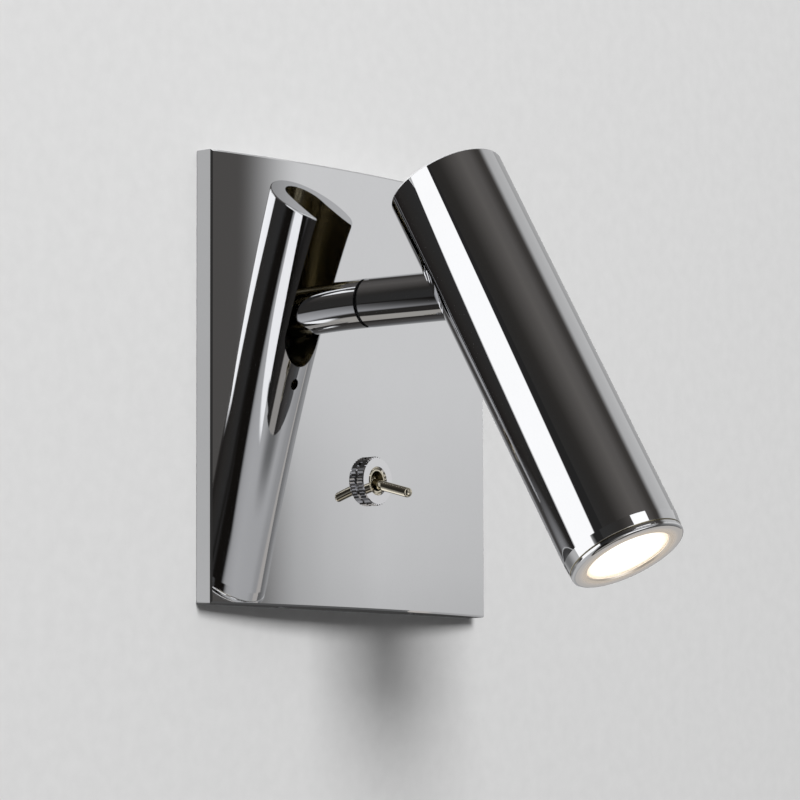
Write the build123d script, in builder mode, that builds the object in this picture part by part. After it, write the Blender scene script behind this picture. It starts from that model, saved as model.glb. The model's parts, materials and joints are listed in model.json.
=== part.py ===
from build123d import *
from math import cos, pi, radians, sin, sqrt
import os

# Bedside reading lamp that is let into a wall: a square domed plate, a swivelling arm, a slotted
# head that tilts on the arm's end, and a toggle switch under the arm.
# Millimetres, +Z up.  The wall's face is Y = 0, the room is towards -Y, the wall's inside is +Y.
# "out" is a distance from the wall's face into the room, and negative inside the wall.

# ---------------------------------------------------------------- driving dimensions
# face plate
plate_side = 105.5
plate_rim = 4.4
plate_crown = 5.2
plate_skin = 2.2
plate_bevel = 0.4

# arm and its swivel in the plate
arm_height = 21.35
arm_diameter = 12.0
arm_bore = 6.0
arm_reach = 38.4
arm_spacer_height = 0.5
stem_diameter = 8.0
stem_bore = 4.6
stem_engagement = 12.0
stem_tail = 6.0
keyway_width = 1.6
keyway_depth = 0.8
bush_diameter = 11.0
bush_flange_diameter = 16.0
bush_flange_height = 1.0
swivel_boss_diameter = 23.0
swivel_boss_out = 3.9
stop_washer_height = 1.2
stop_washer_diameter = 14.8
stop_tab_reach = 10.6
stop_tab_width = 1.6
stop_pin_diameter = 1.8
stop_pin_radius = 9.6
stop_pin_seat = 2.0
spring_washer_height = 0.8
spring_washer_gauge = 0.5
spring_washer_diameter = 14.0
swivel_nut_across_flats = 12.0
swivel_nut_height = 3.2
lock_nut_height = 2.4

# head
head_diameter = 28.5
head_rear = 30.9
head_front = 73.9
head_tilt = 29.5
head_edge = 0.4
tube_taper_length = 2.6
tube_taper_depth = 0.25
slot_width = 14.5
slot_back_wall = 3.8
engine_bore = 24.5
engine_shoulder = 20.0
grub_place = 12.0
grub_diameter = 3.0
grub_length = 5.0
grub_socket = 1.5

# tilt joint in the head
knuckle_width = 9.0
knuckle_flat_length = 8.0
knuckle_slot_width = 4.4
friction_disc_height = 0.6
friction_disc_diameter = 7.6
fork_ear_gauge = 1.0
fork_ear_diameter = 6.4
fork_leg_reach = 4.0
fork_base = 8.0
fork_plug_length = 10.0
pivot_pin_diameter = 3.0
pivot_pin_end_gap = 0.1

# light engine in the head
bezel_height = 1.5
bezel_lip = 0.5
bezel_bevel = 0.35
seam_bevel = 0.2
bezel_aperture = 20.4
bezel_spigot = 5.0
bezel_edge = 0.8
seal_height = 0.2
glass_height = 1.8
glass_diameter = 22.4
optic_height = 13.0
optic_front_diameter = 18.4
optic_back_diameter = 9.6
optic_recess = 1.6
optic_flange = 3.0
optic_ledge = 0.6
holder_wall = 1.6
board_height = 1.2
chip_height = 0.8
chip_diameter = 8.0
pad_height = 0.3
board_screw_pcd = 14.6
board_screw_diameter = 2.0
board_screw_length = 5.0
board_screw_head = 1.2
board_screw_head_diameter = 3.6
sink_fin_count = 8
sink_fin_depth = 3.5
sink_fin_gap = 1.6
sink_neck = 8.0

# toggle switch
toggle_height = -21.9
bushing_diameter = 6.35
bushing_length = 8.9
bushing_bore = 5.2
bushing_throat = 3.8
bushing_mouth = 4.9
bushing_bevel = 0.4
bushing_recess = 0.2
ring_nut_diameter = 11.8
ring_nut_height = 2.2
ring_nut_teeth = 43
ring_nut_tooth_depth = 0.35
ring_nut_mouth = 7.0
ring_nut_mouth_depth = 0.5
ring_nut_edge = 0.3
toggle_pad_diameter = 14.0
toggle_pad_height = 2.4
lock_washer_height = 0.5
lock_washer_diameter = 10.4
back_nut_height = 2.0
back_nut_across_flats = 8.0
lever_diameter = 2.4
lever_length = 13.4
lever_ball = 4.6
lever_foot_diameter = 1.4
lever_foot_length = 9.0
lever_depth = 2.8
lever_tilt = 15.0
lever_tip_radius = 1.08
lever_pin_diameter = 0.8
plunger_diameter = 1.8
plunger_length = 11.9
plunger_tip_radius = 0.6
switch_width = 6.9
switch_length = 12.7
switch_depth = 8.6
switch_wall = 0.9
switch_floor = 1.0
switch_cap = 0.8
tab_pitch = 4.7
tab_width = 2.0
tab_gauge = 0.8
tab_length = 4.0
rocker_width = 3.0
rocker_gauge = 0.4
rocker_arm = 4.9
rocker_bend = 10.0
rocker_tilt = 10.0
rocker_place = 3.6

# frame and housing in the wall
frame_side_gap = 1.05
frame_end_gap = 0.15
frame_gauge = 1.5
frame_opening = 66.0
frame_corner = 4.0
wall_hole_spacing = 84.0
wall_hole_diameter = 4.5
tab_spacing = 50.0
frame_tab_width = 12.0
frame_tab_depth = 3.5
plate_screw_diameter = 3.0
plate_screw_out = 3.2
plate_screw_socket = 1.5
housing_side = 66.0
housing_depth = 36.0
housing_wall = 1.0
housing_corner = 3.0
lug_side = 10.0
lug_gauge = 1.2
lug_edge = 6.0
frame_screw_diameter = 3.0
frame_screw_head = 5.6
frame_screw_head_height = 1.9
frame_screw_length = 6.0
grommet_side_gap = 12.0
grommet_z = -8.0
grommet_bore = 8.0
grommet_hole = 12.5
grommet_flange = 16.0
grommet_flange_height = 1.5
grommet_edge = 0.5
block_length = 26.0
block_depth = 13.8
block_height = 14.0
block_side_gap = 4.0
block_floor_gap = 2.0
block_pitch = 8.0
block_poles = 3
block_well = 3.6
block_rib = 1.2
barrel_diameter = 4.6
barrel_bore = 2.8
barrel_length = 11.0
terminal_screw_diameter = 3.0
terminal_screw_height = 5.0
block_screw_diameter = 2.4
block_screw_head = 4.2
block_screw_head_height = 1.6
earth_side_gap = 7.0
earth_rise = 13.0
earth_screw_diameter = 4.0
earth_screw_head = 7.0
earth_screw_head_height = 2.4
earth_tag_diameter = 8.0
earth_tag_gauge = 0.8
earth_tag_width = 2.6
driver_length = 50.0
driver_width = 24.0
driver_depth = 16.5
driver_wall = 1.4
driver_lid_height = 1.6
driver_top_gap = 4.0
driver_pad_height = 1.5
driver_pad_side = 18.0
driver_board_gauge = 1.2
driver_board_standoff = 2.0
driver_board_foot = 2.8
driver_foot_pitch_x = 40.0
driver_foot_pitch_z = 14.0
capacitor_x = -16.0
capacitor_rise = 3.6
transformer_side = 13.0
transformer_height = 9.0
capacitor_diameter = 8.0
capacitor_length = 9.0

# leads
lead_diameter = 3.0
lead_tail = 1.0
wire_diameter = 1.8
lead_cover_x = 18.0
lead_cover_rise = 5.35
lead_lane_gap = 0.6
neutral_x = -11.0
switched_x = 8.0
wire_rise = 3.5
wire_bend = 2.5
live_lane_run = 4.5
switched_lane_run = 6.0
block_lane_rise = 7.0
switched_lane_drop = 10.0
earth_lane_shift = 5.0
lead_bend = 2.4

# clearances
running = 0.05
seat = 0.1
sliding = 0.3
screw_clearance = 0.2
chamfer_small = 0.3
screw_slot = 0.8

# ---------------------------------------------------------------- derived places
plate_half = plate_side / 2
plate_front = plate_rim + plate_crown
crown_radius = (plate_half**2 + plate_crown**2) / (2 * plate_crown)
inner_radius = crown_radius - plate_skin
inner_half = plate_half - plate_skin
frame_width = 2 * (inner_half - frame_side_gap)
frame_height = 2 * (inner_half - frame_end_gap)
arm_root = plate_front + arm_spacer_height
pivot_out = plate_front + arm_reach
head_radius = head_diameter / 2
bezel_radius = head_radius - tube_taper_depth
slot_half = slot_width / 2
channel_offset = head_radius - slot_back_wall - slot_half
ear_inner = knuckle_width / 2 + running + friction_disc_height
ear_outer = ear_inner + fork_ear_gauge
bush_flange_out = swivel_boss_out - bush_flange_height
stop_washer_out = bush_flange_out - running
spring_washer_out = stop_washer_out - stop_washer_height
swivel_nut_out = spring_washer_out - spring_washer_height
lock_nut_out = swivel_nut_out - swivel_nut_height
toggle_face = plate_front + ring_nut_height
bushing_out = toggle_face - bushing_recess
cap_out = bushing_out - bushing_length
body_out = cap_out - switch_cap
tab_out = body_out - switch_depth
lever_out = bushing_out - lever_depth
pad_out = plate_front - toggle_pad_height
housing_floor = -(housing_depth - housing_wall)
inner_reach = housing_side / 2 - housing_wall
lug_spacing = housing_side - 2 * lug_edge
block_x = block_side_gap + block_length / 2 - inner_reach
block_z = block_floor_gap + block_height / 2 - inner_reach
block_lane_z = block_z + block_height / 2 + block_lane_rise
earth_x = earth_side_gap - inner_reach
earth_z = block_z + block_height / 2 + earth_rise
grommet_x = inner_reach - grommet_side_gap
driver_z = inner_reach - driver_top_gap - driver_width / 2
driver_back = housing_floor + driver_pad_height
driver_front = driver_back + driver_depth
driver_entry_out = driver_back + driver_depth / 2
board_out = driver_back + driver_wall + driver_board_standoff
board_face = board_out + driver_board_gauge
driver_floor = driver_z - driver_width / 2
lead_cover_z = driver_z + lead_cover_rise
lead_lane_out = driver_front + lead_diameter / 2 + lead_lane_gap
live_lane_out = tab_out - tab_length - live_lane_run
switched_lane_out = tab_out - tab_length - switched_lane_run
switched_lane_z = driver_floor - switched_lane_drop
block_front = housing_floor + block_depth
pivot = Vector(0, -pivot_out, arm_height)
head_axis = Vector(0, -sin(radians(head_tilt)), -cos(radians(head_tilt)))
lever_pivot = Vector(0, -lever_out, toggle_height)
lever_axis = Vector(0, -cos(radians(lever_tilt)), -sin(radians(lever_tilt)))

# stations along the head, measured from the pivot towards the light
tube_end = head_front - bezel_height
glass_front = head_front - bezel_lip - seal_height
glass_back = glass_front - glass_height
optic_back = glass_back - optic_height + optic_recess
flange_back = glass_back - optic_flange
board_front = glass_back - optic_height - chip_height
board_back = board_front - board_height
sink_front = board_back - pad_height
holder_bore = glass_diameter / 2 - holder_wall


# ---------------------------------------------------------------- planes and helpers
def wall_plane(out, x=0.0, z=0.0):
    """Plane parallel to the wall at a distance out, facing the room; its y axis is up."""
    return Plane(origin=(x, -out, z), x_dir=(1, 0, 0), z_dir=(0, -1, 0))


def head_plane(station):
    """Plane across the head, facing the light; its y axis points to the room side."""
    return Plane(origin=pivot + head_axis * station, x_dir=(1, 0, 0), z_dir=head_axis)


def side_plane(x):
    """Plane at the pivot facing +X; its x axis runs towards the light, its y axis to the wall."""
    return Plane(origin=pivot + Vector(x, 0, 0), x_dir=head_axis, z_dir=(1, 0, 0))


def save(piece, name):
    """Label a finished piece and write it under its node's name."""
    piece.label = name
    export_step(piece, f"parts/{name}.step")


def ring(plane, height, outer_diameter, inner_diameter=0.0):
    """A disc or washer that stands on a plane."""
    with BuildPart() as piece:
        with BuildSketch(plane):
            Circle(outer_diameter / 2)
            if inner_diameter > 0:
                Circle(inner_diameter / 2, mode=Mode.SUBTRACT)
        extrude(amount=height)
    return piece.part


def hex_nut(plane, height, across_flats, hole_diameter):
    """A hexagon nut whose outer corners are turned off on both faces."""
    with BuildPart() as piece:
        with BuildSketch(plane):
            RegularPolygon(across_flats / sqrt(3), 6)
            Circle(hole_diameter / 2, mode=Mode.SUBTRACT)
        extrude(amount=height)
        with BuildSketch(plane):
            Circle(across_flats / sqrt(3) - chamfer_small / 2)
        extrude(amount=height, mode=Mode.INTERSECT)
    return piece.part


def wire(points, diameter, bend):
    """A round lead along straight runs joined by tangent arcs."""
    route = [Vector(x, -out, z) for x, out, z in points]
    with BuildPart() as piece:
        with BuildLine() as path:
            if len(route) > 2:
                FilletPolyline(*route, radius=bend)
            else:
                Line(*route)
        with BuildSketch(Plane(origin=route[0], z_dir=route[1] - route[0])):
            Circle(diameter / 2)
        sweep(path=path.line)
    return piece.part


def crown_section(height, half_width, radius, middle):
    """The plate's level cross-section at a height: flat back, arched front."""
    edge = middle - radius + sqrt(radius**2 - half_width**2)
    with BuildSketch(Plane.XY.offset(height)) as section:
        with BuildLine():
            ThreePointArc((-half_width, -edge), (0, -middle), (half_width, -edge))
            Polyline((half_width, -edge), (half_width, 0), (-half_width, 0), (-half_width, -edge))
        make_face()
    return section.sketch


os.makedirs("parts", exist_ok=True)

# ---------------------------------------------------------------- face plate
with BuildPart() as face_plate:
    extrude(crown_section(-plate_half, plate_half, crown_radius, plate_front), amount=plate_side)
    front_edges = face_plate.faces().sort_by(Axis.Y)[0].edges()
    chamfer(front_edges, length=plate_bevel)
    hollow = crown_section(-inner_half, inner_half, inner_radius, plate_front - plate_skin)
    extrude(hollow, amount=2 * inner_half, mode=Mode.SUBTRACT)
    with BuildSketch(wall_plane(swivel_boss_out, z=arm_height)):
        Circle(swivel_boss_diameter / 2)
    extrude(amount=plate_front - plate_skin / 2 - swivel_boss_out)
    with BuildSketch(wall_plane(pad_out, z=toggle_height)):
        Circle(toggle_pad_diameter / 2)
    extrude(amount=toggle_pad_height / 2)
    with BuildSketch(wall_plane(0, z=arm_height)):
        Circle(bush_diameter / 2)
        with Locations((0, stop_pin_radius)):
            Circle(stop_pin_diameter / 2)
    extrude(amount=swivel_boss_out + stop_pin_seat, mode=Mode.SUBTRACT)
    with BuildSketch(wall_plane(0, z=arm_height)):
        Circle(bush_diameter / 2)
    extrude(amount=plate_front, mode=Mode.SUBTRACT)
    with BuildSketch(wall_plane(0, z=toggle_height)):
        Circle((bushing_diameter + seat) / 2)
    extrude(amount=plate_front, mode=Mode.SUBTRACT)
    for rim_base in (-plate_half, inner_half):
        with BuildSketch(Plane.XY.offset(rim_base)):
            with Locations((0, -plate_screw_out)):
                with GridLocations(tab_spacing, 0, 2, 1):
                    Circle(plate_screw_diameter / 2)
        extrude(amount=plate_skin, mode=Mode.SUBTRACT)
save(face_plate.part, "face_plate")

# ---------------------------------------------------------------- mounting frame on the wall
with BuildPart() as mounting_frame:
    with BuildSketch(wall_plane(0)):
        RectangleRounded(frame_width, frame_height, frame_corner)
        Circle(frame_opening / 2, mode=Mode.SUBTRACT)
        with GridLocations(wall_hole_spacing, wall_hole_spacing, 2, 2):
            Circle(wall_hole_diameter / 2, mode=Mode.SUBTRACT)
        with GridLocations(lug_spacing, lug_spacing, 2, 2):
            Circle((frame_screw_diameter + screw_clearance) / 2, mode=Mode.SUBTRACT)
    extrude(amount=frame_gauge)
    with BuildSketch(wall_plane(frame_gauge)):
        with GridLocations(tab_spacing, frame_height - frame_gauge, 2, 2):
            Rectangle(frame_tab_width, frame_gauge)
    extrude(amount=frame_tab_depth)
    with BuildSketch(Plane.XY.offset(-frame_height / 2)):
        with Locations((0, -plate_screw_out)):
            with GridLocations(tab_spacing, 0, 2, 1):
                Circle(plate_screw_diameter / 2 + running)
    extrude(amount=frame_height, mode=Mode.SUBTRACT)
save(mounting_frame.part, "mounting_frame")

with BuildPart() as plate_screws:
    screw_length = plate_half - frame_height / 2 - seat + frame_gauge
    for sign in (-1, 1):
        with BuildSketch(Plane.XY.offset(sign * (plate_half - seat))):
            with Locations((0, -plate_screw_out)):
                with GridLocations(tab_spacing, 0, 2, 1):
                    Circle(plate_screw_diameter / 2)
                    RegularPolygon(plate_screw_socket / 2, 6, mode=Mode.SUBTRACT)
        extrude(amount=-sign * screw_length / 2)
        with BuildSketch(Plane.XY.offset(sign * (plate_half - seat - screw_length / 2))):
            with Locations((0, -plate_screw_out)):
                with GridLocations(tab_spacing, 0, 2, 1):
                    Circle(plate_screw_diameter / 2)
        extrude(amount=-sign * screw_length / 2)
save(plate_screws.part, "plate_screws")

# ---------------------------------------------------------------- housing in the wall
with BuildPart() as rear_housing:
    with BuildSketch(wall_plane(-housing_depth)):
        RectangleRounded(housing_side, housing_side, housing_corner)
    extrude(amount=housing_depth)
    with BuildSketch(wall_plane(housing_floor)):
        inner_side = housing_side - 2 * housing_wall
        RectangleRounded(inner_side, inner_side, housing_corner - housing_wall)
    extrude(amount=-housing_floor, mode=Mode.SUBTRACT)
    with BuildSketch(wall_plane(-lug_gauge)):
        with GridLocations(
            housing_side - housing_wall - lug_side, housing_side - housing_wall - lug_side, 2, 2
        ):
            Rectangle(lug_side, lug_side)
        with GridLocations(lug_spacing, lug_spacing, 2, 2):
            Circle(frame_screw_diameter / 2, mode=Mode.SUBTRACT)
    extrude(amount=lug_gauge)
    with BuildSketch(wall_plane(-housing_depth)):
        with Locations((grommet_x, grommet_z)):
            Circle(grommet_hole / 2)
        with Locations((block_x + block_pitch / 2, block_z)):
            Circle(block_screw_diameter / 2)
        with Locations((earth_x, earth_z)):
            Circle(earth_screw_diameter / 2)
    extrude(amount=housing_wall, mode=Mode.SUBTRACT)
save(rear_housing.part, "rear_housing")

with BuildPart() as frame_screws:
    with BuildSketch(wall_plane(frame_gauge - frame_screw_length)):
        with GridLocations(lug_spacing, lug_spacing, 2, 2):
            Circle(frame_screw_diameter / 2)
    extrude(amount=frame_screw_length)
    with BuildSketch(wall_plane(frame_gauge)):
        with GridLocations(lug_spacing, lug_spacing, 2, 2):
            Circle(frame_screw_head / 2)
    extrude(amount=frame_screw_head_height)
    with BuildSketch(wall_plane(frame_gauge + frame_screw_head_height / 2)):
        with GridLocations(lug_spacing, lug_spacing, 2, 2):
            Rectangle(frame_screw_diameter, screw_slot)
            Rectangle(screw_slot, frame_screw_diameter)
    extrude(amount=frame_screw_head_height / 2, mode=Mode.SUBTRACT)
save(frame_screws.part, "frame_screws")

with BuildPart() as cable_grommet:
    with BuildSketch(wall_plane(-housing_depth - grommet_flange_height, grommet_x, grommet_z)):
        Circle(grommet_flange / 2)
    extrude(amount=2 * grommet_flange_height + housing_wall)
    with BuildSketch(wall_plane(-housing_depth, grommet_x, grommet_z)):
        Circle(grommet_flange / 2)
        Circle(grommet_hole / 2, mode=Mode.SUBTRACT)
    extrude(amount=housing_wall, mode=Mode.SUBTRACT)
    with BuildSketch(wall_plane(-housing_depth - grommet_flange_height, grommet_x, grommet_z)):
        Circle(grommet_bore / 2)
    extrude(amount=2 * grommet_flange_height + housing_wall, mode=Mode.SUBTRACT)
    flange_rims = cable_grommet.edges().filter_by(GeomType.CIRCLE).filter_by(
        lambda edge: edge.radius > grommet_hole / 2 + seat
    ).sort_by(Axis.Y)
    fillet([flange_rims[0], flange_rims[-1]], radius=grommet_edge)
save(cable_grommet.part, "cable_grommet")

# ---------------------------------------------------------------- terminal block and earth
pole_offsets = [block_pitch * (index - (block_poles - 1) / 2) for index in range(block_poles)]
pole_places = [(offset, 0) for offset in pole_offsets]
barrel_out = housing_floor + block_depth / 2
with BuildPart() as terminal_block:
    with BuildSketch(wall_plane(housing_floor, block_x, block_z)):
        Rectangle(block_length, block_height)
    extrude(amount=block_depth)
    with BuildSketch(wall_plane(barrel_out, block_x, block_z)):
        with Locations(*pole_places):
            Circle(block_well / 2)
    extrude(amount=block_depth, mode=Mode.SUBTRACT)
    with BuildSketch(Plane(origin=(block_x, -barrel_out, block_z - block_height / 2))):
        with Locations(*pole_places):
            Circle(barrel_diameter / 2 + running)
    extrude(amount=block_height, mode=Mode.SUBTRACT)
    with BuildSketch(wall_plane(housing_floor, block_x + block_pitch / 2, block_z)):
        Circle((block_screw_diameter + screw_clearance) / 2)
    extrude(amount=block_depth, mode=Mode.SUBTRACT)
    with BuildSketch(wall_plane(block_front, block_x, block_z)):
        with GridLocations(block_pitch, 0, 2, 1):
            Rectangle(block_rib, block_height)
    extrude(amount=-block_rib, mode=Mode.SUBTRACT)
save(terminal_block.part, "terminal_block")

with BuildPart() as terminal_barrels:
    with BuildSketch(Plane(origin=(block_x, -barrel_out, block_z - barrel_length / 2))):
        with Locations(*pole_places):
            Circle(barrel_diameter / 2)
            Circle(barrel_bore / 2, mode=Mode.SUBTRACT)
    extrude(amount=barrel_length)
    with BuildSketch(wall_plane(barrel_out, block_x, block_z)):
        with Locations(*pole_places):
            Circle(terminal_screw_diameter / 2)
    extrude(amount=barrel_diameter, mode=Mode.SUBTRACT)
save(terminal_barrels.part, "terminal_barrels")

with BuildPart() as terminal_screws:
    screw_foot = barrel_out + wire_diameter / 2
    with BuildSketch(wall_plane(screw_foot, block_x, block_z)):
        with Locations(*pole_places):
            Circle(terminal_screw_diameter / 2)
    extrude(amount=terminal_screw_height)
    with BuildSketch(wall_plane(screw_foot + terminal_screw_height, block_x, block_z)):
        with Locations(*pole_places):
            Rectangle(terminal_screw_diameter, screw_slot)
    extrude(amount=-screw_slot, mode=Mode.SUBTRACT)
save(terminal_screws.part, "terminal_screws")

with BuildPart() as block_screw:
    with BuildSketch(wall_plane(-housing_depth, block_x + block_pitch / 2, block_z)):
        Circle(block_screw_diameter / 2)
    extrude(amount=housing_depth + block_front)
    with BuildSketch(wall_plane(block_front, block_x + block_pitch / 2, block_z)):
        Circle(block_screw_head / 2)
    extrude(amount=block_screw_head_height)
    block_screw_top = block_front + block_screw_head_height
    with BuildSketch(wall_plane(block_screw_top, block_x + block_pitch / 2, block_z)):
        Rectangle(block_screw_head, screw_slot)
    extrude(amount=-screw_slot, mode=Mode.SUBTRACT)
save(block_screw.part, "block_screw")

with BuildPart() as earth_tag:
    with BuildSketch(wall_plane(housing_floor, earth_x, earth_z)):
        Circle(earth_tag_diameter / 2)
        with Locations((earth_tag_diameter / 2, 0)):
            Rectangle(earth_tag_diameter, earth_tag_width)
        Circle((earth_screw_diameter + screw_clearance) / 2, mode=Mode.SUBTRACT)
    extrude(amount=earth_tag_gauge)
save(earth_tag.part, "earth_tag")

with BuildPart() as earth_screw:
    with BuildSketch(wall_plane(-housing_depth, earth_x, earth_z)):
        Circle(earth_screw_diameter / 2)
    extrude(amount=housing_depth + housing_floor + earth_tag_gauge)
    with BuildSketch(wall_plane(housing_floor + earth_tag_gauge, earth_x, earth_z)):
        Circle(earth_screw_head / 2)
    extrude(amount=earth_screw_head_height)
    earth_screw_top = housing_floor + earth_tag_gauge + earth_screw_head_height
    with BuildSketch(wall_plane(earth_screw_top, earth_x, earth_z)):
        Rectangle(earth_screw_head, screw_slot)
    extrude(amount=-screw_slot, mode=Mode.SUBTRACT)
save(earth_screw.part, "earth_screw")

# ---------------------------------------------------------------- lamp driver
with BuildPart() as driver_case:
    with BuildSketch(wall_plane(driver_back, z=driver_z)):
        Rectangle(driver_length, driver_width)
    extrude(amount=driver_depth - driver_lid_height)
    with BuildSketch(wall_plane(driver_back + driver_wall, z=driver_z)):
        Rectangle(driver_length - 2 * driver_wall, driver_width - 2 * driver_wall)
    extrude(amount=driver_depth, mode=Mode.SUBTRACT)
    upright_edges = driver_case.edges().filter_by(Axis.Y).group_by(Axis.Z)
    fillet(upright_edges[0] + upright_edges[-1], radius=driver_wall / 2)
    with BuildSketch(Plane.XY.offset(driver_z - driver_width / 2)):
        with Locations(*[(x, -driver_entry_out) for x in (neutral_x, switched_x)]):
            Circle(wire_diameter / 2 + seat)
    extrude(amount=driver_wall, mode=Mode.SUBTRACT)
save(driver_case.part, "driver_case")

with BuildPart() as driver_lid:
    with BuildSketch(wall_plane(driver_front - driver_lid_height, z=driver_z)):
        Rectangle(driver_length, driver_width)
    extrude(amount=driver_lid_height)
    fillet(driver_lid.edges().filter_by(Axis.Y), radius=driver_wall / 2)
    with BuildSketch(wall_plane(driver_front - driver_lid_height - driver_wall, z=driver_z)):
        lip_length = driver_length - 2 * (driver_wall + seat)
        lip_width = driver_width - 2 * (driver_wall + seat)
        Rectangle(lip_length, lip_width)
        Rectangle(lip_length - 2 * driver_wall, lip_width - 2 * driver_wall, mode=Mode.SUBTRACT)
    extrude(amount=driver_wall)
    with BuildSketch(wall_plane(driver_front - driver_lid_height, lead_cover_x, lead_cover_z)):
        Circle(lead_diameter / 2 + seat)
    extrude(amount=driver_lid_height, mode=Mode.SUBTRACT)
save(driver_lid.part, "driver_lid")

with BuildPart() as driver_board:
    with BuildSketch(wall_plane(board_out, z=driver_z)):
        driver_margin = 2 * (driver_wall + sliding)
        Rectangle(driver_length - driver_margin, driver_width - driver_margin)
    extrude(amount=driver_board_gauge)
    with BuildSketch(wall_plane(driver_back + driver_wall, z=driver_z)):
        with GridLocations(driver_foot_pitch_x, driver_foot_pitch_z, 2, 2):
            Circle(driver_board_foot / 2)
    extrude(amount=driver_board_standoff)
    with BuildSketch(wall_plane(board_face, z=driver_z)):
        Rectangle(transformer_side, transformer_side)
    extrude(amount=transformer_height)
    with BuildSketch(wall_plane(board_face, z=driver_z)):
        with Locations((capacitor_x, capacitor_rise)):
            Circle(capacitor_diameter / 2)
    extrude(amount=capacitor_length)
save(driver_board.part, "driver_board")

with BuildPart() as driver_pad:
    with BuildSketch(wall_plane(housing_floor, z=driver_z)):
        with GridLocations(driver_length / 2, 0, 2, 1):
            Rectangle(driver_pad_side, driver_pad_side)
    extrude(amount=driver_pad_height)
save(driver_pad.part, "driver_pads")

# ---------------------------------------------------------------- swivel of the arm
with BuildPart() as swivel_bush:
    with BuildSketch(wall_plane(bush_flange_out, z=arm_height)):
        Circle(bush_flange_diameter / 2)
    extrude(amount=bush_flange_height)
    with BuildSketch(wall_plane(bush_flange_out, z=arm_height)):
        Circle(bush_diameter / 2)
    extrude(amount=plate_front - seat - bush_flange_out)
    with BuildSketch(wall_plane(bush_flange_out, z=arm_height)):
        Circle(stem_diameter / 2 + running)
    extrude(amount=plate_front, mode=Mode.SUBTRACT)
save(swivel_bush.part, "swivel_bush")

save(
    ring(
        wall_plane(plate_front, z=arm_height),
        arm_spacer_height - running,
        bush_diameter,
        stem_diameter + 2 * sliding,
    ),
    "arm_spacer",
)

save(
    ring(
        wall_plane(spring_washer_out, z=arm_height + stop_pin_radius),
        swivel_boss_out + stop_pin_seat - spring_washer_out,
        stop_pin_diameter,
    ),
    "stop_pin",
)

with BuildPart() as swivel_stem:
    with BuildSketch(wall_plane(-stem_tail, z=arm_height)):
        Circle(stem_diameter / 2)
        Circle(stem_bore / 2, mode=Mode.SUBTRACT)
    extrude(amount=stem_tail + arm_root + stem_engagement)
    with BuildSketch(wall_plane(-stem_tail, z=arm_height)):
        with Locations((0, -stem_diameter / 2)):
            Rectangle(keyway_width, 2 * keyway_depth)
    extrude(amount=stem_tail + stop_washer_out, mode=Mode.SUBTRACT)
save(swivel_stem.part, "swivel_stem")

with BuildPart() as stop_washer:
    with BuildSketch(wall_plane(spring_washer_out, z=arm_height)):
        Circle(stop_washer_diameter / 2)
        with Locations((0, -stop_tab_reach / 2)):
            Rectangle(stop_tab_width, stop_tab_reach)
        Circle(stem_diameter / 2 + seat / 2, mode=Mode.SUBTRACT)
        with Locations((0, keyway_depth / 2 - stem_diameter / 2 - seat)):
            Rectangle(keyway_width - seat, keyway_depth)
    extrude(amount=stop_washer_height)
save(stop_washer.part, "stop_washer")

with BuildPart() as spring_washer:
    inner_edge = stem_diameter / 2 + seat
    outer_edge = spring_washer_diameter / 2
    low = swivel_nut_out
    high = spring_washer_out
    with BuildSketch(Plane.XY.offset(arm_height)):
        with BuildLine():
            Polyline(
                (inner_edge, -low),
                (inner_edge, -low - spring_washer_gauge),
                (outer_edge, -high),
                (outer_edge, -high + spring_washer_gauge),
                close=True,
            )
        make_face()
    revolve(axis=Axis((0, 0, arm_height), (0, 1, 0)))
save(spring_washer.part, "spring_washer")

save(
    hex_nut(
        wall_plane(lock_nut_out, z=arm_height), swivel_nut_height, swivel_nut_across_flats, stem_diameter
    ),
    "swivel_nut",
)
save(
    hex_nut(
        wall_plane(lock_nut_out - lock_nut_height, z=arm_height),
        lock_nut_height,
        swivel_nut_across_flats,
        stem_diameter,
    ),
    "lock_nut",
)

# ---------------------------------------------------------------- arm
with BuildPart() as arm:
    with BuildSketch(wall_plane(arm_root, z=arm_height)):
        Circle(arm_diameter / 2)
    extrude(amount=pivot_out + arm_diameter / 2 - arm_root)
    with BuildSketch(Plane.YZ.offset(-arm_diameter)):
        with Locations((-pivot_out - arm_diameter / 2, arm_height)):
            Rectangle(arm_diameter, 2 * arm_diameter)
        with Locations((-pivot_out, arm_height)):
            Circle(arm_diameter / 2, mode=Mode.SUBTRACT)
    extrude(amount=2 * arm_diameter, mode=Mode.SUBTRACT)
    with BuildSketch(wall_plane(arm_root, z=arm_height)):
        Circle(stem_diameter / 2)
    extrude(amount=stem_engagement, mode=Mode.SUBTRACT)
    with BuildSketch(wall_plane(arm_root, z=arm_height)):
        Circle(arm_bore / 2)
    extrude(amount=arm_reach - arm_spacer_height, mode=Mode.SUBTRACT)
    flat_depth = (arm_diameter - knuckle_width) / 2
    with BuildSketch(wall_plane(pivot_out - knuckle_flat_length, z=arm_height)):
        with Locations(*[(sign * (knuckle_width + flat_depth) / 2, 0) for sign in (-1, 1)]):
            Rectangle(flat_depth, arm_diameter)
    extrude(amount=knuckle_flat_length + arm_diameter, mode=Mode.SUBTRACT)
    slot_shift = (arm_diameter - knuckle_slot_width) / 2
    with BuildSketch(Plane.YZ.offset(-knuckle_slot_width / 2)):
        with Locations((-pivot_out - slot_shift, arm_height - slot_shift)):
            Rectangle(arm_diameter, arm_diameter)
    extrude(amount=knuckle_slot_width, mode=Mode.SUBTRACT)
    with BuildSketch(Plane.YZ.offset(-arm_diameter)):
        with Locations((-pivot_out, arm_height)):
            Circle(pivot_pin_diameter / 2 + running)
    extrude(amount=2 * arm_diameter, mode=Mode.SUBTRACT)
save(arm.part, "arm")

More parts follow.
